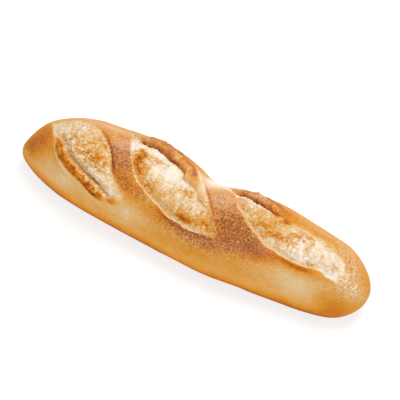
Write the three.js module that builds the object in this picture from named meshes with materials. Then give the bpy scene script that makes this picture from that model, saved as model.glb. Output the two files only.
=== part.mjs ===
// A short wheat baguette with three oblique cuts across its crown, lying on its flat base.
// Millimetres, +Z up, +X along the loaf, -Y towards its near flank. The origin is on the surface
// it rests on, at the middle of its outline. The loaf is one solid, as it was baked.

import * as THREE from "three";
import { ParametricGeometry } from "three/addons/geometries/ParametricGeometry.js";
import { mergeVertices } from "three/addons/utils/BufferGeometryUtils.js";

// Driving dimensions
const LENGTH = 264;
const WIDTH = 71; // where both flank shares below are 1
const HEIGHT = 50;
const HALF = LENGTH / 2;

// Cross section: an elliptical crown over the belt, where the loaf is widest, and under the belt
// a rounded corner that runs into the flat base. Towards the tips the underside turns into half
// an ellipse. Angles count from 0 on the ridge line to 180 degrees in the middle of the base,
// negative on the near side.
const BELT_SHARE = 0.36; // height of the belt as a share of the section's height
const BELT_ANGLE = 90;
const BASE_ANGLE = 150;

// Ends: elliptical caps that close on a tip above the surface, and curve a little to the near side.
const LEFT = { tipHeight: 11, cap: 50, bend: -5 };
const RIGHT = { tipHeight: 20, cap: 30, bend: -1.4 };
const UNDER_CAP = 22; // length over which the underside lifts off at each end
const ROUND_CAP = 40; // length over which the flat underside turns round at each end
const ROUND_POWER = 1.5; // above 1, it turns slowly at first and faster close to the tip
const SIDE_SHIFT = -3.19; // sets the middle of the outline on the X axis

// The loaf along its length: [x, share] points of smooth curves. Flanks and base edges are shares
// of half the width, the crown is a share of the height.
const NEAR_FLANK = [
  [-132, 0.4], [-100, 0.58], [-60, 0.77], [-20, 0.86], [20, 0.92], [60, 0.81], [100, 0.66], [132, 0.55],
];
const FAR_FLANK = [
  [-132, 1.31], [-110, 1.07], [-85, 1.03], [-60, 1.08], [-35, 1.11], [-12, 0.94],
  [8, 0.72], [30, 0.88], [55, 0.91], [80, 0.84], [105, 0.76], [132, 0.64],
];
const CROWN = [
  [-132, 0.9], [-90, 0.98], [-50, 1], [-10, 0.95], [20, 0.95], [60, 1], [100, 0.93], [132, 0.84],
];
const NEAR_BASE = [[-132, 0.3], [-90, 0.46], [0, 0.66], [60, 0.6], [132, 0.4]];
const FAR_BASE = [[-132, 0.96], [-90, 0.77], [-40, 0.78], [10, 0.6], [60, 0.65], [132, 0.48]];

// The three cuts. Each opened between a near lip and a far lip, from its far end to its near end.
// A point of a lip is [x, angle, rise], the rise being how far its edge stands up.
const CUTS = [
  {
    near: [[-112, 30, 1], [-105, 8, 2], [-98, -10, 3], [-90, -31, 3.5], [-74, -47, 3.5], [-54, -59, 2]],
    far: [[-112, 30, 1], [-84, 28, 0.3], [-70, 15, 0.3], [-61, -3, 0.3], [-54, -26, 0.3], [-54, -59, 1]],
  },
  {
    near: [[-60, 40, 1], [-55, 19, 0.8], [-47, -3, 0.6], [-32, -26, 0.6], [-12, -40, 0.8], [28, -41, 0.3]],
    far: [[-60, 40, 2], [-40, 30, 4], [-18, 26, 4], [-2, 24, 1.5], [8, 8, 0.4], [28, -41, 0.3]],
  },
  {
    near: [[14, 38, 1], [26, 22, 0.5], [36, -1, 0.5], [53, -20, 0.5], [80, -33, 1], [115, -34, 0.3]],
    far: [[14, 38, 2], [34, 22, 3], [50, 21, 2.5], [68, 15, 1], [108, 6, 0.2], [115, -34, 0.2]],
  },
];
const ARC_RADIUS = 33; // millimetres of crown surface for one radian of angle
const LIP_REACH = 12; // how far the crust lifts away from a lip
const FOOT_REACH = 7; // how far the foot under a lip reaches into the opening
const FOOT_DROP = 0.7; // depth of that foot for each millimetre of rise
const LIP_FALL = 2.4; // half the width over which the surface falls from a lip to its foot
const BLOOM = 1.5; // how far the dough between the lips swelled
const BLOOM_REACH = 9; // how far inside the outline the dough stands at its full height

// Grid of the faceted surface
const ROWS = 92;
const NEAR_COLUMNS = 8;
const CROWN_COLUMNS = 29;
const FAR_COLUMNS = 8;
const CROWN_FROM = -72; // angles between which the columns stand close
const CROWN_TO = 64;
const LIP_STEPS = 6; // stretches of a lip's line to each of its points
const NORMAL_STEP = 0.5; // millimetres and degrees either side that give the surface its slope

// Value at x of the smooth curve through the [x, value] knots, as cubic Hermite pieces.
function smoothCurve(knots, x) {
  const slope = (i) => {
    const before = knots[Math.max(i - 1, 0)];
    const after = knots[Math.min(i + 1, knots.length - 1)];
    return (after[1] - before[1]) / (after[0] - before[0]);
  };
  let i = 0;
  while (i < knots.length - 2 && x > knots[i + 1][0]) i += 1;
  const span = knots[i + 1][0] - knots[i][0];
  const t = THREE.MathUtils.clamp((x - knots[i][0]) / span, 0, 1);
  const rise = knots[i + 1][1] - knots[i][1];
  const start = slope(i) * span;
  const end = slope(i + 1) * span;
  return knots[i][1] + t * start + t * t * (3 * rise - 2 * start - end) + t ** 3 * (start + end - 2 * rise);
}

// Share of the full section at x, 0 on the tip and 1 once past the length of the cap.
function capShare(x, leftLength, rightLength) {
  const depth = x < 0 ? (x + HALF) / leftLength : (HALF - x) / rightLength;
  const inside = THREE.MathUtils.clamp(depth, 0, 1);
  return Math.sqrt(1 - (1 - inside) ** 2);
}

// Point of the smooth loaf, before it was cut, at x and the section angle in degrees.
function loafPoint(x, angle) {
  const end = x < 0 ? LEFT : RIGHT;
  const share = capShare(x, LEFT.cap, RIGHT.cap);
  const belt = (WIDTH / 2) * share * smoothCurve(angle < 0 ? NEAR_FLANK : FAR_FLANK, x);
  const base = (WIDTH / 2) * share * smoothCurve(angle < 0 ? NEAR_BASE : FAR_BASE, x);
  const top = end.tipHeight + (HEIGHT * smoothCurve(CROWN, x) - end.tipHeight) * share;
  const under = end.tipHeight * (1 - capShare(x, UNDER_CAP, UNDER_CAP));
  const roundness = (1 - Math.min(1, (HALF - Math.abs(x)) / ROUND_CAP)) ** ROUND_POWER;

  const turn = Math.abs(angle);
  const radians = THREE.MathUtils.degToRad(turn);
  let across = belt * Math.sin(radians);
  let up = BELT_SHARE + (1 - BELT_SHARE) * Math.cos(radians);
  if (turn > BELT_ANGLE) {
    const corner = (Math.min(1, (turn - BELT_ANGLE) / (BASE_ANGLE - BELT_ANGLE)) * Math.PI) / 2;
    across = THREE.MathUtils.lerp(base + (belt - base) * Math.cos(corner), across, roundness);
    const flatUp = BELT_SHARE * (1 - Math.sin(corner));
    up = THREE.MathUtils.lerp(flatUp, BELT_SHARE * (1 + Math.cos(radians)), roundness);
  }
  const side = SIDE_SHIFT + end.bend * (x / HALF) ** 2 + Math.sign(angle) * across;
  return new THREE.Vector3(x, side, under + (top - under) * up);
}

// Outward direction of the smooth loaf at x and angle.
function loafNormal(x, angle) {
  const from = THREE.MathUtils.clamp(x, NORMAL_STEP - HALF, HALF - NORMAL_STEP);
  const along = loafPoint(from + NORMAL_STEP, angle).sub(loafPoint(from - NORMAL_STEP, angle));
  const round = loafPoint(from, angle + NORMAL_STEP).sub(loafPoint(from, angle - NORMAL_STEP));
  return along.cross(round).normalize();
}

// Place on the flattened crown: millimetres along and across, with a lip's rise as the third value.
function onCrown(x, angle, rise = 0) {
  return new THREE.Vector3(x, THREE.MathUtils.degToRad(angle) * ARC_RADIUS, rise);
}

// A lip as a smooth line of places on the crown.
function lipLine(points) {
  const places = points.map((point) => onCrown(...point));
  return new THREE.CatmullRomCurve3(places).getPoints(LIP_STEPS * points.length);
}

// Distance on the crown from a place to a lip, and the lip's rise at the nearest point.
function nearestOn(line, place) {
  let nearest = { distance: Infinity, rise: 0 };
  for (let i = 1; i < line.length; i += 1) {
    const [from, to] = [line[i - 1], line[i]];
    const [dx, dy] = [to.x - from.x, to.y - from.y];
    const along = ((place.x - from.x) * dx + (place.y - from.y) * dy) / (dx * dx + dy * dy);
    const foot = from.clone().lerp(to, THREE.MathUtils.clamp(along, 0, 1));
    const distance = Math.hypot(place.x - foot.x, place.y - foot.y);
    if (distance < nearest.distance) nearest = { distance, rise: foot.z };
  }
  return nearest;
}

// Whether a place lies inside a closed outline.
function isInside(outline, place) {
  let inside = false;
  outline.forEach((to, i) => {
    const from = outline[(i + outline.length - 1) % outline.length];
    if (from.y > place.y === to.y > place.y) return;
    if (place.x < from.x + ((to.x - from.x) * (place.y - from.y)) / (to.y - from.y)) inside = !inside;
  });
  return inside;
}

const cuts = CUTS.map((cut) => {
  const lips = [lipLine(cut.near), lipLine(cut.far)];
  return { lips, outline: [...lips[0], ...lips[1].slice().reverse()] };
});

// How far the cuts lift or lower the surface at x and angle.
function relief(x, angle) {
  const place = onCrown(x, angle);
  const fade = (distance, reach) => Math.max(0, 1 - (distance / reach) ** 2) ** 2;
  let height = 0;
  for (const { lips, outline } of cuts) {
    const nearest = lips.map((lip) => nearestOn(lip, place));
    const edge = Math.min(nearest[0].distance, nearest[1].distance);
    const inward = isInside(outline, place) ? edge : -edge;
    let crust = 0;
    let dough = BLOOM * THREE.MathUtils.smoothstep(edge, 0, BLOOM_REACH);
    for (const { distance, rise } of nearest) {
      crust += rise * fade(distance, LIP_REACH);
      dough -= FOOT_DROP * rise * fade(distance, FOOT_REACH);
    }
    height += THREE.MathUtils.lerp(crust, dough, THREE.MathUtils.smoothstep(inward, -LIP_FALL, LIP_FALL));
  }
  return height;
}

// Section angles of the columns: close over the crown, wider down both flanks, and one step
// across the flat base back to the first.
function columnAngles() {
  const spread = (from, to, count) =>
    Array.from({ length: count }, (_, i) => from + ((to - from) * i) / count);
  return [
    ...spread(-BASE_ANGLE, CROWN_FROM, NEAR_COLUMNS),
    ...spread(CROWN_FROM, CROWN_TO, CROWN_COLUMNS),
    ...spread(CROWN_TO, BASE_ANGLE, FAR_COLUMNS),
    BASE_ANGLE,
    -BASE_ANGLE,
  ];
}

// The crust as a closed faceted surface. Rows stand closer towards the two tips.
function loafGeometry() {
  const angles = columnAngles();
  const columns = angles.length - 1;
  const surface = new ParametricGeometry(
    (u, v, target) => {
      const angle = angles[Math.round(u * columns)];
      const x = HALF * Math.cos(Math.PI * v);
      target.copy(loafPoint(x, angle)).addScaledVector(loafNormal(x, angle), relief(x, angle));
    },
    columns,
    ROWS,
  );
  surface.deleteAttribute("normal");
  surface.deleteAttribute("uv");
  const merged = mergeVertices(surface);

  // At the tips a row is a single point, and the facets that lost a corner there are left out.
  const corners = merged.index.array;
  const kept = [];
  for (let i = 0; i < corners.length; i += 3) {
    const [a, b, c] = corners.slice(i, i + 3);
    if (a !== b && b !== c && c !== a) kept.push(a, b, c);
  }
  merged.setIndex(kept);
  return merged;
}

const crust = new THREE.MeshStandardMaterial({ color: 0xd39a50, roughness: 0.62, metalness: 0 });
const loaf = new THREE.Mesh(loafGeometry(), crust);
loaf.name = "loaf";

const baguette = new THREE.Group();
baguette.add(loaf);
export default baguette;
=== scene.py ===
"""A short wheat baguette on a pale floor: its crust, its blisters and its three opened cuts.

The loaf is one closed surface. A place on it is given by x, in millimetres along the loaf, and by a
section angle in degrees: 0 on the ridge line, negative down the near flank, 180 under the base. Its
relief, what the oven did to it, and some light and shade painted into its colour come from the same
fields, so colour and shape agree everywhere.
"""
import math
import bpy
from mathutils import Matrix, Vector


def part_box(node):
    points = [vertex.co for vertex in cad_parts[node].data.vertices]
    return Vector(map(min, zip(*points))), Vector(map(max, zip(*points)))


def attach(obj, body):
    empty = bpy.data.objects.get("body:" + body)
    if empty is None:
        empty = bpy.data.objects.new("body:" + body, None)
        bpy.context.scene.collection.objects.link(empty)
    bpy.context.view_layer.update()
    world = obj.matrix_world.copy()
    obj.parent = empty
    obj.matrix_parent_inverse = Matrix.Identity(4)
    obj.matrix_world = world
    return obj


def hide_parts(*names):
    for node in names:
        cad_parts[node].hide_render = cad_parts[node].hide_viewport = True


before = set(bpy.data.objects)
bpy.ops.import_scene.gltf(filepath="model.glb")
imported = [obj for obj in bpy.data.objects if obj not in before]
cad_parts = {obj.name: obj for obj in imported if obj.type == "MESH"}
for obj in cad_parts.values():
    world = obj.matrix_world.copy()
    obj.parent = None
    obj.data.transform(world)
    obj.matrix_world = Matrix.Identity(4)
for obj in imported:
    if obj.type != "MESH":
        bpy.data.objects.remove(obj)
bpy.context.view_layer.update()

from types import SimpleNamespace

import bpy
import numpy as np
from mathutils import Vector

MM = 0.001
LOAF_LOW, LOAF_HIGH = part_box("loaf")

# ---------------------------------------------------------------- the loaf's own sizes, in mm

LENGTH = (LOAF_HIGH.x - LOAF_LOW.x) / MM
HALF = LENGTH / 2
WIDTH = 71.0
HEIGHT = 50.0
BELT_SHARE = 0.36                # height of the widest line, as a share of the height there
BELT_ANGLE = 90.0                # section angle of the widest line
BASE_ANGLE = 150.0               # section angle where the flat base begins
TIP_HEIGHT = (11.0, 20.0)        # of the left end and of the right end
CAP = (50.0, 30.0)               # length over which each end rounds off
BEND = (-5.0, -1.4)              # sideways sweep of each end
UNDER_CAP = 22.0                 # length over which the underside lifts towards a tip
ROUND_CAP = 40.0                 # length over which the flat base turns into a rounded tip
SIDE_SHIFT = -3.19               # puts the middle of the outline over the origin
ARC_RADIUS = 33.0                # mm of crown for one radian of section angle

# Half widths of the widest line and of the base, as shares of half WIDTH, and the crown's height as
# a share of HEIGHT: (x, share).
NEAR_FLANK = [(-132, .40), (-100, .58), (-60, .77), (-20, .86), (20, .92), (60, .81), (100, .66),
              (132, .55)]
FAR_FLANK = [(-132, 1.31), (-110, 1.07), (-85, 1.03), (-60, 1.08), (-35, 1.11), (-12, .94),
             (8, .72), (30, .88), (55, .91), (80, .84), (105, .76), (132, .64)]
CROWN = [(-132, .90), (-90, .98), (-50, 1.0), (-10, .95), (20, .95), (60, 1.0), (100, .93),
         (132, .84)]
NEAR_BASE = [(-132, .30), (-90, .46), (0, .66), (60, .60), (132, .40)]
FAR_BASE = [(-132, .96), (-90, .77), (-40, .78), (10, .60), (60, .65), (132, .48)]


# ---------------------------------------------------------------- arithmetic on whole arrays

def smooth_curve(x, knots):
    """Cubic Hermite curve through (x, value) knots, with each slope taken across its neighbours."""
    kx, kv = np.array(knots, float).T
    before, after = np.r_[0, :len(kx) - 1], np.r_[1:len(kx), len(kx) - 1]
    slope = (kv[after] - kv[before]) / (kx[after] - kx[before])
    i = np.clip(np.searchsorted(kx, x, side="right") - 1, 0, len(kx) - 2)
    span = kx[i + 1] - kx[i]
    t = np.clip((x - kx[i]) / span, 0, 1)
    rise, start, end = kv[i + 1] - kv[i], slope[i] * span, slope[i + 1] * span
    return kv[i] + t * start + t ** 2 * (3 * rise - 2 * start - end) + t ** 3 * (start + end - 2 * rise)


def step(value, low, high):
    """0 below low, 1 above high, and a smooth S between: 3 t^2 - 2 t^3."""
    t = np.clip((value - low) / (high - low), 0, 1)
    return t * t * (3 - 2 * t)


def mix(a, b, share):
    """a where share is 0, b where it is 1, and in proportion between."""
    return a + (b - a) * share


def bell(distance, centre, half_width):
    """1 at the centre, falling as exp(-(offset / half width)^2)."""
    return np.exp(-((distance - centre) / half_width) ** 2)


def fade(distance, reach):
    """1 at no distance, falling smoothly to 0 at reach: (1 - (d / reach)^2)^2."""
    return np.clip(1 - (distance / reach) ** 2, 0, None) ** 2


def flat_points(across, along):
    """Points of a plane pattern for noise to read: mm across its grain, and mm along it."""
    return np.stack([across, along, 0 * across], -1)


def hashed(ix, iy, iz, seed):
    """A number in 0..1 for each whole cell corner, the same on every run (integer mixing)."""
    n = (ix.astype(np.uint32) * np.uint32(374761393) + iy.astype(np.uint32) * np.uint32(668265263)
         + iz.astype(np.uint32) * np.uint32(2147483647) + np.uint32(seed) * np.uint32(1274126177))
    n = (n ^ (n >> np.uint32(13))) * np.uint32(1103515245)
    n = (n ^ (n >> np.uint32(16))) * np.uint32(2654435769)
    return ((n ^ (n >> np.uint32(15))) & np.uint32(0xFFFFFF)).astype(float) / 0xFFFFFF


CELL_ORIGIN = 4096               # keeps the whole numbers that are mixed above zero
OCTAVE_SHIFT = 17.3              # mm between octaves, so that their cells don't line up
CELL_JITTER = 0.7                # how far a cell's centre strays, as a share of the cell
DOME_REACH = 0.6                 # radius of a dome, as a share of the cell


def noise(points, size, seed):
    """Value noise in -1..1 with cells of size mm: corner values blended by smooth steps."""
    p = points / size
    cell = np.floor(p).astype(np.int64)
    f = p - cell
    f = f * f * f * (f * (f * 6 - 15) + 10)
    total = 0.0
    for dx in (0, 1):
        for dy in (0, 1):
            for dz in (0, 1):
                w = (np.where(dx, f[..., 0], 1 - f[..., 0]) * np.where(dy, f[..., 1], 1 - f[..., 1])
                     * np.where(dz, f[..., 2], 1 - f[..., 2]))
                corner = cell + np.array([dx, dy, dz]) + CELL_ORIGIN
                total = total + w * hashed(corner[..., 0], corner[..., 1], corner[..., 2], seed)
    return 2 * total - 1


def rough(points, size, seed, octaves=4, keep=0.5):
    """Octaves of noise, each half the size of the last and keep times its strength."""
    total, weight, norm = 0.0, 1.0, 0.0
    for k in range(octaves):
        total = total + weight * noise(points + OCTAVE_SHIFT * k, size / 2 ** k, seed + k)
        norm += weight
        weight *= keep
    return total / norm


def cells(points, size, seed):
    """Distances, in cells of size mm, to the nearest and second nearest of the jittered centres."""
    p = points / size
    cell = np.floor(p).astype(np.int64)
    near, second = np.full(p.shape[:-1], np.inf), np.full(p.shape[:-1], np.inf)
    for dx in (-1, 0, 1):
        for dy in (-1, 0, 1):
            for dz in (-1, 0, 1):
                c = cell + np.array([dx, dy, dz])
                numbers = (c + CELL_ORIGIN).transpose(2, 0, 1)
                centre = np.stack([hashed(*numbers, seed + k) for k in range(3)], -1)
                d = np.linalg.norm(c + 0.5 + CELL_JITTER * (centre - 0.5) - p, axis=-1)
                second = np.minimum(second, np.maximum(near, d))
                near = np.minimum(near, d)
    return near, second


def blisters(points, size, seed):
    """Round domes scattered one to a cell: 1 - (distance / reach)^2, so 1 at a centre, 0 outside."""
    return np.clip(1 - (cells(points, size, seed)[0] / DOME_REACH) ** 2, 0, 1)


# ---------------------------------------------------------------- the smooth loaf

def cap_share(x, left, right):
    """Elliptical end: square root of 1 - (1 - depth)^2, with depth from the tip over the cap."""
    depth = np.clip(np.where(x < 0, (x + HALF) / left, (HALF - x) / right), 0, 1)
    return np.sqrt(1 - (1 - depth) ** 2)


def loaf_point(x, angle):
    """Smooth loaf. Over the belt the section is half an ellipse. Under it, a quarter ellipse runs
    into the flat base, and towards each tip the underside blends into half an ellipse."""
    left = x < 0
    share = cap_share(x, *CAP)
    tip = np.where(left, *TIP_HEIGHT)
    near = angle < 0
    belt = WIDTH / 2 * share * np.where(near, smooth_curve(x, NEAR_FLANK), smooth_curve(x, FAR_FLANK))
    base = WIDTH / 2 * share * np.where(near, smooth_curve(x, NEAR_BASE), smooth_curve(x, FAR_BASE))
    top = tip + (HEIGHT * smooth_curve(x, CROWN) - tip) * share
    under = tip * (1 - cap_share(x, UNDER_CAP, UNDER_CAP))
    tip_depth = np.clip((HALF - np.abs(x)) / ROUND_CAP, 0, 1)
    roundness = (1 - tip_depth) ** 1.5

    turn = np.abs(angle)
    radians = np.radians(turn)
    corner = np.clip((turn - BELT_ANGLE) / (BASE_ANGLE - BELT_ANGLE), 0, 1) * math.pi / 2
    across_base = np.clip((180 - turn) / (180 - BASE_ANGLE), 0, 1)
    flat = np.where(turn < BASE_ANGLE, base + (belt - base) * np.cos(corner), base * across_base)
    flat_up = BELT_SHARE * (1 - np.sin(corner))
    oval, oval_up = belt * np.sin(radians), BELT_SHARE * (1 + np.cos(radians))
    over = turn <= BELT_ANGLE
    across = np.where(over, oval, mix(flat, oval, roundness))
    up = np.where(over, BELT_SHARE + (1 - BELT_SHARE) * np.cos(radians), mix(flat_up, oval_up, roundness))
    side = SIDE_SHIFT + np.where(left, *BEND) * (x / HALF) ** 2 + np.sign(angle) * across
    return np.stack([x, side, under + (top - under) * up], -1)


NORMAL_STEP, NORMAL_TURN = 0.4, 0.7     # mm along and degrees round, for the slope of the surface


def surface_normal(x, angle):
    """Outward normal of the smooth loaf, from small steps along it and round it."""
    x = np.clip(x, NORMAL_STEP - HALF, HALF - NORMAL_STEP)
    along = loaf_point(x + NORMAL_STEP, angle) - loaf_point(x - NORMAL_STEP, angle)
    round_ = loaf_point(x, angle + NORMAL_TURN) - loaf_point(x, angle - NORMAL_TURN)
    normal = np.cross(along, round_)
    return normal / np.maximum(np.linalg.norm(normal, axis=-1, keepdims=True), 1e-9)


def crown_place(x, angle):
    """The flattened crown: mm along, and mm across from the ridge line."""
    return np.stack([x, np.radians(angle) * ARC_RADIUS], -1)


# ---------------------------------------------------------------- the cuts and seams

# Lips run from the far end of a cut to its near end. A point is (x, angle, rise of the lip in mm).
CUTS = {
    "left": dict(
        near=[(-117, 30, .3), (-111, 14, .5), (-105, 0, .8), (-98, -11, 2.2), (-92, -27, 3.2),
              (-83, -39, 3.6), (-73, -47, 3.6), (-62, -53, 3.6), (-53, -58, 1.4)],
        far=[(-117, 30, .3), (-98, 34, .4), (-84, 29, .5), (-70, 15, .9), (-61, -3, .9),
             (-55, -24, .4), (-46, -40, .2), (-42, -52, .1), (-53, -58, .3)]),
    "middle": dict(
        near=[(-60, 38, .5), (-55, 19, .9), (-48, 2, .9), (-42, -13, .9), (-32, -26, 1.1),
              (-20, -34, 1.2), (-8, -42, 1.2), (10, -44, .7), (29, -41, .3)],
        far=[(-60, 39, .4), (-54, 37.5, 1.1), (-48, 36, 3.1), (-38, 35, 4.2), (-26, 32, 4.2),
             (-13, 24, 2.8), (-10, 13, 2.0), (-2, 9, 1.6), (4, 1, 1.0), (7, -6, .8), (14, -14, .5),
             (20, -24, .3), (29, -41, .1)]),
    "right": dict(
        near=[(13, 40, .3), (20, 28, .3), (28, 17, .5), (35, 1, .8), (45, -12, .8), (60, -27, .9),
              (72, -32, 1.2), (86, -34, 1.6), (100, -28, 1.2), (106, -33, .7), (117, -34, .2)],
        far=[(13, 40, .4), (24, 33, 1.7), (38, 30, 3.5), (50, 26, 2.8), (62, 20, 1.4),
             (76, 19, .3), (92, 20, .1), (108, 8, .1), (118, -14, .1), (117, -34, .1)]),
}

# Folds and edges in the crust: (x, angle) points, height in mm (a crease where negative), half
# width in mm, and how much darker the line is drawn, paler where negative. Along the creases, the
# shadowed edge and the hollow, that darkening is painted shade.
SEAMS = {
    "outer edge of the left ear": (
        [(-115, 24), (-107, 2), (-102, -15), (-98, -32), (-91, -47), (-82, -56)], 0.6, 0.8, -.26),
    "crease by the left bridge": (
        [(-78, 24), (-70, 14), (-64, 5), (-60, -5), (-56, -17), (-53, -28)], -1.0, 0.9, .40),
    "fold on the left bridge": ([(-70, 26), (-63, 14), (-58, 3), (-54, -8)], 0.5, 1.6, -.04),
    "crease by the middle bridge": (
        [(-1, 30), (6, 15), (11, 3), (16, -8), (22, -19)], -0.9, 0.75, .42),
    "pale strip by the middle cut": (
        [(-12, 42), (-4, 29), (3, 15), (8, 3), (14, -8), (20, -20)], 0.5, 2.2, -.30),
    "crest under the right ear": (
        [(1, 44), (9, 37), (17, 30), (23, 25), (30, 22), (38, 20.5), (52, 18)], 1.1, 1.3, -.50),
    "fold on the middle bridge": ([(3, 28), (10, 14), (15, 2), (21, -9), (27, -20)], 0.4, 1.2, -.08),
    "shadowed edge under the middle cut": ([(-20, -37), (-8, -45), (8, -48), (26, -45)], -0.5, 1.8, .22),
    "fold inside the right cut": ([(63, -6), (66, -15), (73, -23), (84, -27)], 0.8, 0.9, -.10),
    "rib across the right cut": ([(87, 4), (91, -10), (93, -26)], 0.6, 1.2, -.04),
    "crease along the tail": ([(101, 4), (107, -10), (112, -22), (117, -33)], -0.6, 0.9, .12),
    "fold inside the middle cut": ([(-50, 27), (-40, 25), (-31, 21), (-25, 13)], 0.6, 1.0, -.06),
    "hollow under the right cut": ([(68, -35), (78, -38), (90, -38), (99, -33)], -1.0, 1.5, .20),
}
SEAM_END = 0.2                   # strength of a seam at its two ends

RAGGED, FRAYED = 1.1, 0.35       # mm by which lips wander, and by which their edges are torn
LIP_REACH = 12.0                 # mm of crust that a lip lifts with it
RIM, RIM_DROP = 0.8, 0.35        # mm over which a lip's edge rounds over, by this share of its rise
FOOT_REACH = 7.5                 # mm of dough that a lip's foot pulls down
FOOT_DROP = 0.72                 # mm of foot below the loaf for each mm of lip above it
BLOOM, BLOOM_REACH = 1.5, 9.0    # mm that the dough swells up, over this far from a lip
OVERHANG = 0.42                  # mm a lip leans over its foot for each mm of rise


def smooth_line(points, steps=10):
    """Catmull-Rom curve through the points, steps to a stretch."""
    p = np.array(points, float)
    ext = np.vstack([2 * p[0] - p[1], p, 2 * p[-1] - p[-2]])
    t = np.linspace(0, 1, steps, endpoint=False)[:, None]
    parts = [0.5 * (2 * b + (c - a) * t + (2 * a - 5 * b + 4 * c - d) * t ** 2
                    + (3 * b - a - 3 * c + d) * t ** 3)
             for a, b, c, d in zip(ext[:-3], ext[1:-2], ext[2:-1], ext[3:])]
    return np.vstack(parts + [p[-1:]])


def crown_line(points):
    """Smooth line through (x, angle, value) points, with each angle turned to mm across the crown."""
    return smooth_line([(x, math.radians(angle) * ARC_RADIUS, value) for x, angle, value in points])


def nearest_on(line, place):
    """For every place: its distance to the line, the line's third value at the nearest point, and
    the direction from that point to the place."""
    a, b = line[:-1], line[1:]
    span = (b - a)[:, :2]
    best = np.full(place.shape[:-1], np.inf)
    value = np.zeros(place.shape[:-1])
    toward = np.zeros(place.shape)
    for i in range(len(a)):
        rel = place - a[i, :2]
        t = np.clip(rel @ span[i] / (span[i] @ span[i]), 0, 1)
        off = rel - t[..., None] * span[i]
        d = np.hypot(off[..., 0], off[..., 1])
        near = d < best
        best = np.where(near, d, best)
        value = np.where(near, mix(a[i, 2], b[i, 2], t), value)
        toward = np.where(near[..., None], off, toward)
    return best, value, toward / np.maximum(best, 1e-6)[..., None]


def inside(outline, place):
    """Even-odd rule: whether each place lies inside the closed outline."""
    hit = np.zeros(place.shape[:-1], bool)
    x, y = place[..., 0], place[..., 1]
    for (x0, y0), (x1, y1) in zip(outline, np.roll(outline, -1, 0)):
        if y0 != y1:
            hit ^= ((y0 > y) != (y1 > y)) & (x < x0 + (x1 - x0) * (y - y0) / (y1 - y0))
    return hit


def cut_fields(place, solid):
    """Signed distances and heights of the three cuts.

    A ragged copy of each place is measured against the lips. Outside, the crust lifts to the lip's
    rise. Inside, the foot drops under the lip and the dough blooms up again. depth is positive
    inside an opening, edge is the nearest lip's rise, side is 1 by a near lip and 0 by a far one,
    and lean is how far the crust hangs over.
    """
    ragged = np.stack([rough(solid, 9, 11, 3), rough(solid, 9, 23, 3)], -1)
    frayed = np.stack([noise(solid, 2.2, 31), noise(solid, 2.2, 37)], -1)
    place = place + RAGGED * ragged + FRAYED * frayed
    height = np.zeros(place.shape[:-1])
    depth = np.full(place.shape[:-1], -np.inf)
    edge = np.zeros(place.shape[:-1])
    side = np.zeros(place.shape[:-1])
    lean = np.zeros(place.shape)
    for cut in CUTS.values():
        near_lip, far_lip = crown_line(cut["near"]), crown_line(cut["far"])
        near_gap, near_rise, from_near = nearest_on(near_lip, place)
        far_gap, far_rise, from_far = nearest_on(far_lip, place)
        hit = inside(np.vstack([near_lip, far_lip[::-1]])[:, :2], place)
        nearer = near_gap < far_gap
        gap, rise = np.where(nearer, near_gap, far_gap), np.where(nearer, near_rise, far_rise)
        toward = np.where(nearer[..., None], from_near, from_far)
        inward = np.where(hit, gap, -gap)
        crust = near_rise * fade(near_gap, LIP_REACH) + far_rise * fade(far_gap, LIP_REACH)
        crust = crust - RIM_DROP * rise * bell(gap, 0, RIM)
        foot = near_rise * fade(near_gap, FOOT_REACH) + far_rise * fade(far_gap, FOOT_REACH)
        dough = BLOOM * step(gap, 0, BLOOM_REACH) - FOOT_DROP * foot
        height = height + mix(crust, dough, step(inward, -0.3, 1.0))
        push = OVERHANG * rise * step(inward, -5, -0.6) * (1 - step(inward, 0.2, 1.3))
        lean = lean + np.where(hit, push, -push)[..., None] * toward
        closer = inward > depth
        depth = np.where(closer, inward, depth)
        edge = np.where(closer, rise, edge)
        side = np.where(closer, nearer, side)
    return height, depth, edge, side, lean


def seam_fields(place, solid):
    """Height of the seams and the shift they give the bake: darker as painted shade along creases
    and hollows, paler on some folds and edges. Each is a bell across its line, weak at its two ends.
    """
    place = place + 0.5 * np.stack([rough(solid, 6, 41, 3), rough(solid, 6, 43, 3)], -1)
    height, bake = np.zeros(place.shape[:-1]), np.zeros(place.shape[:-1])
    for points, rise, half_width, toast_and_shade in SEAMS.values():
        strengths = [SEAM_END] + [1.0] * (len(points) - 2) + [SEAM_END]
        line = crown_line([(x, angle, k) for (x, angle), k in zip(points, strengths)])
        distance, strength, _ = nearest_on(line, place)
        profile = strength * bell(distance, 0, half_width)
        height += rise * profile
        bake += toast_and_shade * profile
    return height, bake


# ---------------------------------------------------------------- places that differ

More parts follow.
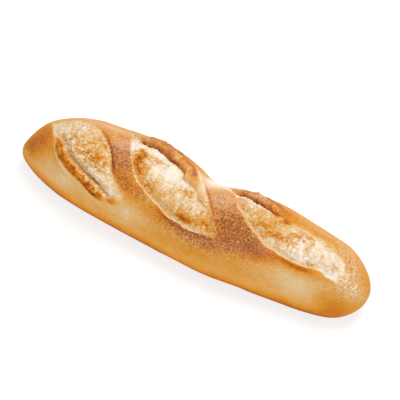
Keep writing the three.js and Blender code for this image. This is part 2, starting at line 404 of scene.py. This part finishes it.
# Soft patches, each (x, angle, half length in mm, half width in degrees, amount). The first four
# lists add to how far a place baked, or take from it where the amount is negative.
# In CRUST_TOAST, (84, -38) is painted shade under the right cut's lip, and the negative patches at (122,
# -26) on the right tip and (8, 36) on the waist are painted highlights.
CRUST_TOAST = [
    (-116, -12, 11, 34, .24), (-120, -48, 8, 22, .16), (-88, -70, 14, 14, -.08),
    (-70, -84, 16, 10, .06), (-52, -8, 9, 22, .23), (-44, -30, 12, 13, .15), (-56, 12, 9, 14, .12),
    (-34, -38, 9, 8, .10), (-36, -66, 14, 14, -.12), (4, -48, 24, 13, .14), (-12, -46, 10, 8, .14),
    (6, -74, 30, 14, .12), (36, -18, 18, 20, .26), (30, -46, 22, 14, .26), (57, -39, 12, 12, .34),
    (20, 6, 9, 12, .06), (54, -76, 22, 14, .06), (-31, 51, 17, 7, .32), (-26, 60, 14, 7, .06),
    (-42, 40, 7, 8, .20), (38, 42, 16, 9, .14), (50, 52, 12, 8, .12), (60, 28, 9, 10, .22),
    (88, -60, 18, 18, -.13), (84, -38, 15, 3.5, .10), (116, -76, 12, 22, .24), (112, 14, 12, 28, -.10),
    (122, -26, 8, 26, -.20), (8, 36, 10, 10, -.26), (-86, 44, 26, 10, .05), (98, 42, 22, 14, .02),
    (-84, 88, 28, 14, .08), (-18, 96, 20, 12, .10), (70, 84, 34, 16, .09), (124, 60, 9, 26, .10),
    (-124, 64, 8, 26, .10),
]
DOUGH_TOAST = [
    (-74, -2, 9, 12, .06), (-67, -18, 8, 12, .14), (-84, -4, 9, 12, .05), (-36, 22, 17, 9, -.10),
    (-44, 6, 4, 9, .50), (-39, -8, 6, 8, .34), (-33, 14, 6, 3, .16), (-30, -23, 16, 7, .20),
    (-6, -32, 16, 7, .20), (5, -36, 5, 4, .50), (16, -30, 9, 8, .18), (-5, 24, 5, 9, .16),
    (54, -8, 7, 10, .20), (64, -2, 14, 12, .09), (28, 20, 10, 10, .14), (48, 10, 14, 10, .05),
    (66, -12, 6, 4, .40), (66, 16, 4, 5, .46), (38, 4, 8, 10, .12), (94, -12, 18, 20, -.03),
]
EAR_SEAR = [(-44, 40, 14, 14, .8), (-20, 30, 8, 10, .3), (30, 34, 9, 10, .8), (52, 26, 8, 8, .6)]
KNUCKLES = [(-48, -58, 3.4, 5, 1.8), (-60, -59, 4, 5, 1.2), (-67, -55, 3, 4, .9)]   # mm of relief too

# Flour left on the crust and on the dough; the flour at (8, 34) on the waist is partly flour and partly a
# painted highlight. The pinkish sheen on the bridges and the right tip is dried skin with a painted
# reflection of the softboxes on it.
CRUST_FLOUR = [(8, 34, 10, 12, .70), (-76, 38, 20, 7, .30), (95, 38, 20, 7, .12),
               (-98, 100, 18, 12, .15), (30, 108, 40, 8, .15), (4, 10, 4, 18, .35)]
DOUGH_FLOUR = [
    (-104, 14, 8, 18, .35), (-88, 14, 14, 12, .20), (-90, -20, 6, 14, .60), (-70, -40, 12, 6, .80),
    (-48, -50, 9, 6, .70), (-53, 18, 4, 15, .90), (-38, 22, 18, 6, 1.08), (-14, 8, 14, 11, 1.25),
    (-28, 4, 10, 9, .60), (8, -12, 7, 10, .40), (92, -12, 16, 16, .32), (105, -2, 10, 18, .60),
    (82, -26, 12, 8, .55), (108, -30, 7, 7, 1.1), (34, 17, 16, 6, .50), (64, -4, 9, 12, .20),
    (-44, 4, 5, 9, -1.0), (-38, -9, 6, 7, -.70), (5, -36, 6, 5, -.70),
]
SKIN_AND_PAINTED_SHEEN = [
    (20, 8, 10, 13, .80), (29, 2, 7, 12, .12), (40, -47, 24, 8, .10), (-57, 17, 8, 11, .75),
    (-51, 0, 7, 12, .12), (122, -26, 7, 22, .22), (60, -34, 10, 6, .15), (-84, 42, 22, 7, .14),
]

# How much of a texture shows: ribs and smooth dough in the cuts, blisters and wrinkles on the crust.
RIBBED = [(92, -8, 22, 26, 1.0), (44, 14, 14, 14, .5), (-22, 6, 16, 16, .7), (-94, 8, 14, 20, .4)]
CALM = [(-100, 8, 14, 26, .35), (-84, -26, 16, 12, .35), (-60, -40, 14, 12, .4), (98, -8, 16, 20, .2)]
BLISTERED = [
    (-50, -8, 14, 26, 1.0), (-62, 10, 12, 12, .6), (38, -22, 28, 30, 1.3), (120, -20, 12, 40, .7),
    (-36, 48, 20, 10, .7), (38, 38, 16, 10, .8), (-30, -34, 14, 10, .6), (10, -52, 24, 12, .9),
    (110, 14, 16, 24, .4), (-98, 30, 20, 8, .5), (-66, 30, 14, 10, .5), (86, 34, 26, 10, .4),
    (-116, -14, 10, 30, .4), (-70, 80, 40, 16, .25), (60, 72, 40, 18, .3), (18, 8, 10, 12, .5),
]
WRINKLED = [(20, 8, 16, 18, 1.0), (40, -40, 30, 10, .4), (-56, 8, 12, 22, .9)]


def patches(s, spots):
    """Sum of soft bell-shaped patches: amount x exp(-(offset / half size)^2) for each."""
    total = np.zeros(s.x.shape)
    for x, angle, half_x, half_angle, amount in spots:
        total += amount * np.exp(-((s.x - x) / half_x) ** 2 - ((s.angle - angle) / half_angle) ** 2)
    return total


# ---------------------------------------------------------------- the surface, its textures and ears

ROWS = 418
LOW_NEAR, CROWN_COLUMNS, LOW_FAR, BASE_COLUMNS = 34, 152, 36, 12
CROWN_FROM, CROWN_TO = -74.0, 66.0      # section angles between which the columns are close
RIDGE_SAMPLES = 4001                    # steps that measure the ridge line's length
BASE_FADE = (128, 150)                  # angles over which relief dies out towards the base
TIP_FADE = 14                           # mm over which relief grows from a tip

# Sizes of the textures, in mm.
SWELL, RIPPLE = 42, 15           # slow unevenness of the whole loaf
MOTTLE, FLECK = 22, 6            # broad and small patches of browning
FOLD = 8.0                       # folds of torn dough
RIB = 7.5                        # creases that cross an opened cut
CRUMB = 4.2                      # torn crumb, and the plates its skin cracked into
PEBBLE = 2.6                     # beads of dough
FINE = 2.2                       # small crumb
WANDER, STRAY = 3.7, 1.3         # size of the bends in the crumb's patterns, and how far they bend
FIBRE = 1.9                      # strands across the torn face of an ear
WRINKLE = 3.6                    # skin that shrank on the bridges
GRIT = 1.3                       # real grain is under 0.5 mm; drawn this coarse so that it shows
BLISTER = 1.35                   # real blisters are 0.3 to 1 mm; drawn this coarse so that they show
CUT_SLANT = (0.64, 0.77)         # cosine and sine of the angle between the cuts and the loaf


def row_places():
    """x of the rows, evenly spaced along the ridge line: its length is summed and read backwards."""
    x = -HALF * np.cos(np.linspace(0, math.pi, RIDGE_SAMPLES))
    ridge = loaf_point(x, np.zeros_like(x))
    length = np.r_[0, np.cumsum(np.linalg.norm(np.diff(ridge, axis=0), axis=1))]
    return np.interp(np.linspace(0, length[-1], ROWS), length, x)


def column_angles():
    """Section angles once round from the near base edge: close over the crown, wider elsewhere."""
    return np.concatenate([
        np.linspace(-BASE_ANGLE, CROWN_FROM, LOW_NEAR, endpoint=False),
        np.linspace(CROWN_FROM, CROWN_TO, CROWN_COLUMNS, endpoint=False),
        np.linspace(CROWN_TO, BASE_ANGLE, LOW_FAR, endpoint=False),
        np.linspace(BASE_ANGLE, 360 - BASE_ANGLE, BASE_COLUMNS, endpoint=False)])


def cut_surface():
    """The smooth loaf with its cuts, lips and seams, before any finer texture.

    solid is the smooth loaf. body is the same, moved sideways where a lip leans over, outward is its
    normal, height the mm above it, and skin the result. opened is 1 on torn dough and 0 on crust.
    off_base and tips are 1 where relief shows and fall to 0 at the base and at the tips. depth, edge
    and side are as in cut_fields, and seam_toast_and_shade as in seam_fields.
    """
    x, angle = np.meshgrid(row_places(), column_angles(), indexing="ij")
    angle = np.where(angle > 180, angle - 360, angle)
    solid, place = loaf_point(x, angle), crown_place(x, angle)
    height, depth, edge, side, lean = cut_fields(place, solid)
    seam, seam_toast_and_shade = seam_fields(place, solid)
    height = height + seam
    blur = 4.0 * (1 - step(edge, 0.1, 0.7))
    opened = step(depth, -0.2 - blur, 0.9 + blur)
    off_base = 1 - step(np.abs(angle), *BASE_FADE)
    tips = step(HALF - np.abs(x), 0, TIP_FADE)
    moved = place + lean
    body = loaf_point(np.clip(moved[..., 0], -HALF, HALF), np.degrees(moved[..., 1] / ARC_RADIUS))
    outward = surface_normal(x, angle)
    skin = body + outward * (height * tips * off_base)[..., None]
    return SimpleNamespace(x=x, angle=angle, solid=solid, across=place[..., 1], height=height,
                           depth=depth, edge=edge, side=side, seam_toast_and_shade=seam_toast_and_shade, opened=opened,
                           off_base=off_base, tips=tips, body=body, outward=outward, skin=skin)


def textures(s):
    """The noise fields that relief and bake both read. Most are read on the skin of the cut loaf, so
    they never stretch over a steep lip."""
    skin = s.skin
    wander = skin + STRAY * np.stack([noise(skin, WANDER, seed) for seed in (101, 103, 107)], -1)
    t = SimpleNamespace()

    # The whole loaf: slow swells, patches of browning, and height over the base, made uneven so that
    # what browns by height has no straight border.
    t.swell = 0.55 * rough(s.solid, SWELL, 51, 2) + 0.28 * rough(s.solid, RIPPLE, 57, 3)
    t.mottle = (0.05 * rough(s.solid * [1.0, 0.5, 0.5], MOTTLE, 81, 3)
                + 0.045 * rough(s.solid, FLECK, 83, 3))
    t.low = s.solid[..., 2] + 1.2 * rough(s.solid, 16, 85, 3)

    # Torn dough: folds, crumb, beads, cracks between dried plates, and ribs across the cut.
    t.folds = np.abs(rough(skin * [1.0, 0.7, 0.7], FOLD, 61, 4, 0.6))
    t.crumb = rough(wander, CRUMB, 67, 4, 0.7)
    t.pebbles = blisters(wander, PEBBLE, 91)
    near, second = cells(wander, CRUMB, 113)
    t.cracks = (1 - step(second - near, 0.02, 0.17)) * step(noise(skin, 9, 117), -0.3, 0.4)
    t.fine = rough(wander, FINE, 123, 3, 0.7)
    t.grit = noise(wander, GRIT, 69)
    bands = flat_points(s.x + 0.35 * s.across, 0.16 * s.across) + 0.8 * t.fine[..., None]
    t.ribs = (np.abs(rough(bands, RIB, 121, 3, 0.5)) - 0.2) * patches(s, RIBBED)
    t.coarse = np.clip(0.62 + 1.0 * rough(skin, 13, 93, 2) - patches(s, CALM), 0.15, 1.3)
    t.torn = (1.6 * (t.folds - 0.2) + 2.6 * t.ribs - 0.6 * t.cracks
              + t.coarse * (0.8 * t.crumb + 0.45 * (t.pebbles - 0.4) + 0.22 * t.grit))

    # Browned crust: small domes, and wrinkles that run with the cuts.
    t.grain = np.clip(patches(s, BLISTERED), 0, 1)
    t.domes = blisters(skin, BLISTER, 71)
    cosine, sine = CUT_SLANT
    along_cut, across_cut = cosine * s.x - sine * s.across, sine * s.x + cosine * s.across
    wrinkles = rough(flat_points(across_cut + 0.9 * t.crumb, along_cut / 3.5), WRINKLE, 137, 2, 0.6)
    t.wrinkles = 1 - step(np.abs(wrinkles), 0.0, 0.16)
    t.wrinkled = np.clip(patches(s, WRINKLED), 0, 1)

    # Ears: strands across a torn face, knobs along a rolled one, and single knuckles.
    t.fibres = rough(flat_points(s.x + 0.5 * t.crumb, 0.22 * s.depth), FIBRE, 139, 2, 0.6)
    t.knobs = 0.5 + 0.45 * rough(wander, 5.0, 75, 4, 0.8) + 0.5 * (blisters(wander, PEBBLE, 79) - 0.4)
    t.knuckles = patches(s, KNUCKLES)
    return t


def ear_zones(s, t):
    """Where the parts of an ear lie, by the distance from its lip: 1 there, and 0 elsewhere.

    inner is well inside an opening. far and near say which lip is raised into an ear. rim is the
    outside of a far ear, face the torn wall under it, and groove painted shade along the line
    where that wall meets the dough. roll is the browned band along a near ear, knobbly its lumpy
    part, top its edge, and line the thin pale edge of any near lip. layers runs from -1 to 1 over the
    sheets that ears tore into.
    """
    ear = SimpleNamespace()
    ear.inner = step(s.depth, 0.8, 3.0)
    raised = step(s.edge, 1.1, 2.6)
    ear.far, ear.near = raised * (1 - s.side), raised * s.side
    ear.rim = ear.far * step(s.depth, -7.5, -5.5) * (1 - ear.inner)
    ear.face = ear.far * (1 - step(s.depth, 0.6, 2.2))
    # Painted shade along the line where a far ear's torn face meets the dough.
    groove = ear.far * bell(s.depth, 1.7, 0.7) * (0.85 + 0.6 * noise(s.skin, 7, 127))
    ear.groove = np.clip(groove, 0, 1)
    reach = mix(3.4, 6.9, step(-s.angle, 4, 40))
    band = step(s.depth + reach, 0, 1.2) * step(-s.angle, -4, 14) * (1 - s.opened)
    ear.roll = ear.near * band
    ear.knobbly = ear.roll * (0.15 + 0.85 * step(s.x, -90, -74))
    ear.layers = np.cos(2.4 * s.depth + 2.5 * t.crumb) * (ear.roll + ear.rim)
    ear.top = ear.near * bell(s.depth, 0.1, 1.0)
    line = bell(s.depth, -0.2, 0.5) * s.side * step(s.edge, 0.2, 0.7)
    ear.line = np.clip(line * (0.8 + 0.5 * t.pebbles) * (1 - 0.4 * ear.near), 0, 1)
    return ear


# ---------------------------------------------------------------- relief, bake and flour

def relief(s, t, ear):
    """mm above the smooth loaf: cuts and seams, then knobs, slow swells, torn dough in the cuts,
    blisters less wrinkles on the crust, and the crumbly rims and tops of the ears."""
    crust = 1 - s.opened
    return (s.height + t.knuckles * (1 + 0.5 * t.crumb) + ear.knobbly * 2.2 * (t.knobs - 0.4)
            + t.swell * s.off_base * s.tips + s.opened * ear.inner * t.torn
            + crust * t.grain * s.off_base * (0.34 * t.domes + 0.14 * t.grit)
            - crust * t.wrinkled * s.off_base * 0.45 * t.wrinkles
            + ear.rim * (0.45 * t.crumb + 0.5 * t.fine + 0.25 * t.grit) + 0.22 * ear.layers
            + ear.near * bell(s.depth, -0.6, 1.3) * (0.7 * t.fine + 0.3 * t.grit))


def bake_and_painted_light_of(s, t, ear):
    """How far each place baked, from 0, flour-pale dough, to 1, chestnut, with painted shade in
    creases, hollows and at the foot of far ears, and painted highlights on blisters and knobs.
    """
    # Crust: deeper on the crown and low on the flank, deepest where it met the oven floor. Where it has
    # grain, blister tops are drawn lighter as painted glints.
    turn = np.abs(s.angle)
    crust = (0.32 + 0.10 * (1 - step(turn, 20, 62)) + 0.25 * (1 - step(t.low, 8, 22))
             + 0.14 * (1 - step(t.low, 6, 12)) + 0.22 * (1 - step(t.low, 1.5, 7))
             + patches(s, CRUST_TOAST) + t.mottle
             + t.grain * (0.14 - 0.40 * t.domes ** 2 + 0.16 * t.grit) + 0.17 * t.wrinkled * t.wrinkles)

    # The rolled ear: caramel outside, in fine sheets, paler on the tops of its knobs and darker between
    # them as painted highlight and shade.
    rolled = (0.38 + 0.26 * step(-s.depth + 1.6 * t.crumb, 0.6, 2.4)
              - 0.45 * (t.knobs - 0.45) * ear.knobbly + 0.30 * t.fine + 0.16 * t.grit)
    crust = mix(crust, rolled, ear.roll) - 0.10 * ear.layers

    # Dough: pale, with gold on what stands up and darker cracks.
    gold = step(t.crumb + t.folds - 0.2, 0.0, 0.35)
    dough = (0.14 + t.mottle + patches(s, DOUGH_TOAST) + 0.08 * t.grit
             + ear.inner * (0.28 * t.cracks
                            + t.coarse * (0.20 * gold + 0.20 * (0.35 - t.pebbles) - 0.14 * t.fine)))

    # The torn ears: caramel rim and face. The face is drawn darker just under the rim, and along its
    # foot where it meets the dough, as painted shade.
    seared = (0.41 + 0.14 * patches(s, EAR_SEAR) + 0.20 * step(-s.depth, 1.5, 5) + 0.16 * t.crumb
              + 0.35 * t.fine + 0.20 * t.grit + 0.20 * t.fibres)
    crust = mix(crust, seared, ear.rim * (1 - s.opened))
    # Painted shade in broken patches on the face just under the rim.
    shaded = seared + 0.45 * step(s.depth, 0.0, 0.6) * step(noise(s.skin, 8, 131), -0.7, 0.5)
    dough = mix(dough, shaded, ear.face)

    # Seams darken creases and hollows as painted shade, and pale some folds and edges.
    bake = mix(crust, dough, s.opened) + s.seam_toast_and_shade + 0.2 * t.knuckles * (1 - 0.5 * ear.near)
    # Painted shade along the foot of each far ear, where its torn face meets the dough.
    bake = bake + 0.70 * ear.groove + ear.top * (0.16 + 0.5 * t.fine + 0.2 * t.grit)
    bake = mix(bake, 0.07 + 0.10 * t.crumb, ear.line)
    return bake + 0.14 * ear.far * bell(s.depth, -6.5, 2.0)


def flour_on(s, t, ear):
    """Flour, 0 to 1: in streaks and hollows of the dough, in patches on the crust, and a trace on
    the torn faces of the ears."""
    streaks = rough(flat_points(s.x, s.angle * 0.12), 3.4, 97, 2)
    dusted = (patches(s, DOUGH_FLOUR) + 0.35 * streaks + 1.2 * t.ribs - 0.45 * t.crumb
              - 0.35 * t.fine - 0.25 * t.grit)
    # No flour where shade is painted at the foot of a far ear.
    on_dough = 0.92 * (1 - ear.face) * (1 - ear.groove) * (1 - ear.top) * step(dusted, 0.05, 1.15)
    flour = mix(patches(s, CRUST_FLOUR) * (0.9 + 0.3 * t.fine), on_dough, s.opened)
    torn_face = np.maximum(ear.rim * (1 - s.opened), ear.face * s.opened)
    return flour + 0.08 * torn_face * np.clip(0.7 + 0.9 * t.fibres, 0, 1)


def build_loaf():
    """The whole crust as a grid of points: body + relief along its normal, never below the base.

    Its attributes say what the bake did, and carry some painted light: bake and flour as above,
    sheen_film for the pinkish sheen on the bridges, dried skin with a painted reflection on it,
    speck for how strong the finest flecks are, grain for blistered crust, dull for roughness and
    gloss for the specular level, highest where the crust is blistered and least at the base.
    """
    s = cut_surface()
    t = textures(s)
    ear = ear_zones(s, t)
    points = s.body + s.outward * (relief(s, t, ear) * s.tips * s.off_base)[..., None]
    points[..., 2] = np.maximum(points[..., 2], 0)
    crust = 1 - s.opened
    return points, {
        "bake": bake_and_painted_light_of(s, t, ear),
        "flour": flour_on(s, t, ear),
        # Pinkish sheen: dried skin with a painted reflection of the softboxes, speckled by the blister
        # domes.
        "sheen_film": crust * np.clip(patches(s, SKIN_AND_PAINTED_SHEEN), 0, 1) * (0.45 + 0.9 * t.domes),
        "speck": mix(0.045 + 0.11 * t.grain, 0.10, s.opened),
        "grain": t.grain * crust,
        "dull": mix(0.82 - 0.37 * t.grain, 0.85, s.opened),
        "gloss": mix(0.10 + 0.50 * t.grain, 0.2, s.opened) * step(t.low, -6, 16)}


UV_MARGIN = 0.004                # kept clear at the border of the UV square


def closed_skin(name, points, fields):
    """Mesh of a grid that closes round its columns and comes to a point at its first and last row.
    Its UV map unrolls it, with u from tip to tip and v once round."""
    rows, columns = points.shape[:2]
    tips = points[[0, -1]].mean(1)
    ring = points[1:-1].reshape(-1, 3)
    index = 2 + np.arange((rows - 2) * columns).reshape(rows - 2, columns)
    after = np.roll(index, -1, 1)
    quads = np.stack([index[:-1], index[1:], after[1:], after[:-1]], -1).reshape(-1, 4)
    first = np.stack([np.zeros(columns, int), index[0], after[0]], -1)
    last = np.stack([np.ones(columns, int), after[-1], index[-1]], -1)
    mesh = bpy.data.meshes.new(name)
    mesh.from_pydata((np.vstack([tips, ring]) * MM).tolist(), [],
                     quads.tolist() + first.tolist() + last.tolist())

    u = np.linspace(UV_MARGIN, 1 - UV_MARGIN, rows)
    v = np.linspace(UV_MARGIN, 1 - UV_MARGIN, columns + 1)

    def uv(row, height):
        """UV corners in a row, at the given v."""
        return np.stack(np.broadcast_arrays(u[row], height), -1)

    column, row = np.meshgrid(np.arange(columns), np.arange(1, rows - 2))
    below, above = v[:-1], v[1:]
    middle = (below + above) / 2
    corners = [np.stack([uv(row, v[column]), uv(row + 1, v[column]), uv(row + 1, v[column + 1]),
                         uv(row, v[column + 1])], 2),
               np.stack([uv(0, middle), uv(1, below), uv(1, above)], 1),
               np.stack([uv(-1, middle), uv(-2, above), uv(-2, below)], 1)]
    flat = np.vstack([part.reshape(-1, 2) for part in corners])
    mesh.uv_layers.new(name="OFBake").data.foreach_set("uv", flat.ravel())

    for key, field in fields.items():
        values = np.r_[field[0].mean(), field[-1].mean(), field[1:-1].ravel()]
        mesh.attributes.new(key, "FLOAT", "POINT").data.foreach_set("value", values.astype(np.float32))
    mesh.polygons.foreach_set("use_smooth", np.ones(len(mesh.polygons), bool))
    mesh.update()
    mesh.validate()
    piece = bpy.data.objects.new(name, mesh)
    bpy.context.collection.objects.link(piece)
    return piece


# ---------------------------------------------------------------- materials

def linear(hex_colour):
    """sRGB hex to linear RGBA: x / 12.92 in the darks, ((x + 0.055) / 1.055)^2.4 above."""
    srgb = [int(hex_colour[i:i + 2], 16) / 255 for i in (0, 2, 4)]
    return [c / 12.92 if c <= 0.04045 else ((c + 0.055) / 1.055) ** 2.4 for c in srgb] + [1.0]


def add(tree, kind, links=(), stops=(), **settings):
    """Adds a node. links pairs an input's name or number with an output socket or a value, and stops
    are a colour ramp's (position, hex colour) pairs."""
    node = tree.nodes.new(kind)
    for key, value in settings.items():
        setattr(node, key, value)
    for key, value in dict(links).items():
        if isinstance(value, bpy.types.NodeSocket):
            tree.links.new(value, node.inputs[key])
        else:
            node.inputs[key].default_value = value
    for number, (position, colour) in enumerate(stops):
        elements = node.color_ramp.elements
        element = elements[number] if number < len(elements) else elements.new(position)
        element.position, element.color = position, linear(colour)
    return node


def new_material(name):
    """An empty node material, with its tree."""
    material = bpy.data.materials.new(name)
    material.use_nodes = True
    material.node_tree.nodes.clear()
    return material, material.node_tree


# Crust browns with heat, from pale dough through gold and caramel to chestnut.
BAKE_COLOURS = [(0.0, "f5e8d4"), (0.12, "e8cfaa"), (0.24, "dcb77f"), (0.36, "d99e4f"), (0.47, "d58c26"),
                (0.60, "c5711a"), (0.72, "b25f18"), (0.85, "96501c"), (1.0, "6e3a16")]
FLOUR_WHITE = "f5efe4"
SKIN_SHEEN_PINK = "e8bd9c"             # dried skin, pinkish and half clear, with a painted reflection of the softboxes on it
PAPER_GREY = "a0a4a6"
WHITE = "ffffff"

# Pattern sizes of the crust's material, in mm. Flour and starch grains and pinhead blisters are 0.1
# to 0.5 mm, too fine to show, so these are drawn about three times as coarse.
SPECKLE, PINHEAD, GRAIN = 1.1, 1.15, 0.9
GRAIN_DEPTH, PINHEAD_DEPTH = 5.0, 0.35      # mm of bump; the first is scaled down by speck


def baked_crust():
    """Oven-baked wheat crust. It looks satin and blistered where it browned, and matt and floury
    where it tore: colour follows bake, sheen_film and flour, and shine follows dull and gloss.
    Painted shade, painted glints and a painted pinkish reflection are carried in bake and sheen_film."""
    material, tree = new_material("baked_wheat_crust")
    coords = add(tree, "ShaderNodeTexCoord").outputs["Object"]
    field = {key: add(tree, "ShaderNodeAttribute", attribute_name=key).outputs["Fac"]
             for key in ("bake", "flour", "sheen_film", "speck", "grain", "dull", "gloss")}
    per_metre = 1 / MM

    # Flecks darken and lighten the bake. Pinhead blisters lighten it where the crust has grain: a
    # painted glint at the centre of each, which also shapes the bump below.
    speckle = add(tree, "ShaderNodeTexNoise", {"Vector": coords, "Scale": per_metre / SPECKLE,
                                               "Detail": 3.0, "Roughness": 0.6}).outputs["Fac"]
    shift = add(tree, "ShaderNodeMapRange", {"Value": speckle, "From Min": 0.38, "From Max": 0.62,
                                             "To Min": -1.0, "To Max": 1.0}).outputs[0]
    bake = add(tree, "ShaderNodeMath", {0: shift, 1: field["speck"], 2: field["bake"]},
               operation="MULTIPLY_ADD").outputs[0]
    spots = add(tree, "ShaderNodeTexVoronoi", {"Vector": coords, "Scale": per_metre / PINHEAD},
                feature="F1")
    blister_and_glint = add(tree, "ShaderNodeMapRange", {"Value": spots.outputs["Distance"], "From Min": 0.1,
                                            "From Max": 0.6, "To Min": 1.0, "To Max": 0.0}).outputs[0]
    blister_and_glint = add(tree, "ShaderNodeMath", {0: blister_and_glint, 1: field["grain"]}, operation="MULTIPLY").outputs[0]
    # Painted glints: the centres of the pinhead blisters are drawn lighter.
    bake = add(tree, "ShaderNodeMath", {0: blister_and_glint, 1: -0.32, 2: bake}, operation="MULTIPLY_ADD").outputs[0]
    colour = add(tree, "ShaderNodeValToRGB", {"Fac": bake}, stops=BAKE_COLOURS).outputs["Color"]
    sheen_mixed = add(tree, "ShaderNodeMixRGB", {"Fac": field["sheen_film"], "Color1": colour,
                                            "Color2": linear(SKIN_SHEEN_PINK)})
    floured = add(tree, "ShaderNodeMixRGB", {"Fac": field["flour"], "Color1": sheen_mixed.outputs[0],
                                             "Color2": linear(FLOUR_WHITE)})

    # Fine unevenness: grain everywhere by the strength of the flecks, and the pinhead blisters.
    fine = add(tree, "ShaderNodeTexNoise", {"Vector": coords, "Scale": per_metre / GRAIN,
                                            "Detail": 4.0, "Roughness": 0.65}).outputs["Fac"]
    fine = add(tree, "ShaderNodeMath", {0: fine, 1: field["speck"]}, operation="MULTIPLY").outputs[0]
    bump = add(tree, "ShaderNodeBump", {"Height": fine, "Strength": 1.0, "Distance": GRAIN_DEPTH * MM})
    bump = add(tree, "ShaderNodeBump", {"Height": blister_and_glint, "Strength": 0.8, "Distance": PINHEAD_DEPTH * MM,
                                        "Normal": bump.outputs[0]})
    shader = add(tree, "ShaderNodeBsdfPrincipled", {
        "Base Color": floured.outputs[0], "Roughness": field["dull"], "Normal": bump.outputs[0],
        "IOR": 1.45, "Specular IOR Level": field["gloss"]})
    add(tree, "ShaderNodeOutputMaterial", {"Surface": shader.outputs[0]})
    return material


def white_paper():
    """Matt studio paper with a glow of its own, so that it stays near white even in shadow."""
    material, tree = new_material("matt_white_paper")
    shader = add(tree, "ShaderNodeBsdfPrincipled", {
        "Base Color": linear(PAPER_GREY), "Roughness": 0.9, "IOR": 1.4,
        "Emission Color": linear(WHITE), "Emission Strength": 0.72})
    add(tree, "ShaderNodeOutputMaterial", {"Surface": shader.outputs[0]})
    return material


# ---------------------------------------------------------------- the loaf

loaf = closed_skin("loaf_crust", *build_loaf())
loaf.data.materials.append(baked_crust())
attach(loaf, "root")
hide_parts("loaf")


# ---------------------------------------------------------------- floor, camera and lights

FLOOR_FLAT, FLOOR_EDGE, FLOOR_RISE = 2.4, 6.0, 3.0     # metres: flat radius, outer radius, edge height
FLOOR_RINGS, FLOOR_SPOKES = 61, 73
TARGET = Vector((-2.1, 9.5, 20.0)) * MM
AZIMUTH, ELEVATION, DISTANCE, LENS = 29.4, 55.0, 1.5, 200.0     # degrees, degrees, metres, mm
LIT_SPOT = (0, 0, 0.02)          # where both lights point: the middle of the loaf
SKY = 0.36


def plain_floor():
    """A wide pale sheet, flat round the loaf. Beyond FLOOR_FLAT it sweeps up as the square of the
    distance, so no horizon shows from any side."""
    rings, spokes = np.linspace(0.01, FLOOR_EDGE, FLOOR_RINGS), np.linspace(0, 2 * math.pi, FLOOR_SPOKES)
    radius, turn = np.meshgrid(rings, spokes, indexing="ij")
    lift = np.clip((radius - FLOOR_FLAT) / (FLOOR_EDGE - FLOOR_FLAT), 0, None) ** 2 * FLOOR_RISE
    sheet = np.stack([radius * np.cos(turn), radius * np.sin(turn), lift], -1).reshape(-1, 3)
    index = np.arange(FLOOR_RINGS * FLOOR_SPOKES).reshape(FLOOR_RINGS, FLOOR_SPOKES)
    quads = np.stack([index[:-1, :-1], index[1:, :-1], index[1:, 1:], index[:-1, 1:]], -1).reshape(-1, 4)
    mesh = bpy.data.meshes.new("floor")
    mesh.from_pydata(sheet.tolist(), [], quads.tolist() + [index[0, :-1].tolist()])
    mesh.materials.append(white_paper())
    floor = bpy.data.objects.new("floor", mesh)
    bpy.context.collection.objects.link(floor)
    return floor


def aim(thing, spot, target):
    """Puts a camera or a light at a spot, facing the target."""
    thing.location = spot
    thing.rotation_euler = (Vector(target) - Vector(spot)).to_track_quat("-Z", "Y").to_euler()
    bpy.context.collection.objects.link(thing)


def softbox(name, spot, size, watts, colour):
    """A square area light, size metres wide, that faces the loaf."""
    light = bpy.data.lights.new(name, "AREA")
    light.shape, light.size, light.energy = "SQUARE", size, watts
    light.color = linear(colour)[:3]
    aim(bpy.data.objects.new(name, light), spot, LIT_SPOT)


def long_lens():
    """The camera, DISTANCE from TARGET, turned AZIMUTH to the right and ELEVATION up."""
    camera = bpy.data.cameras.new("camera")
    camera.lens, camera.sensor_width = LENS, 36.0
    turn, rise = math.radians(AZIMUTH), math.radians(ELEVATION)
    back = Vector((math.sin(turn) * math.cos(rise), -math.cos(turn) * math.cos(rise), math.sin(rise)))
    eye = bpy.data.objects.new("camera", camera)
    aim(eye, TARGET + back * DISTANCE, TARGET)
    return eye


plain_floor()
bpy.context.scene.camera = long_lens()
softbox("key", (0.15, 0.4, 1.2), 0.6, 11.0, "fff6ea")
softbox("fill", (0.35, -1.1, 0.6), 1.2, 3.8, WHITE)
world = bpy.data.worlds.new("studio")
world.use_nodes = True
sky = world.node_tree.nodes["Background"]
sky.inputs["Color"].default_value = linear(WHITE)
sky.inputs["Strength"].default_value = SKY
bpy.context.scene.world = world
bpy.context.scene.view_settings.view_transform = "Standard"
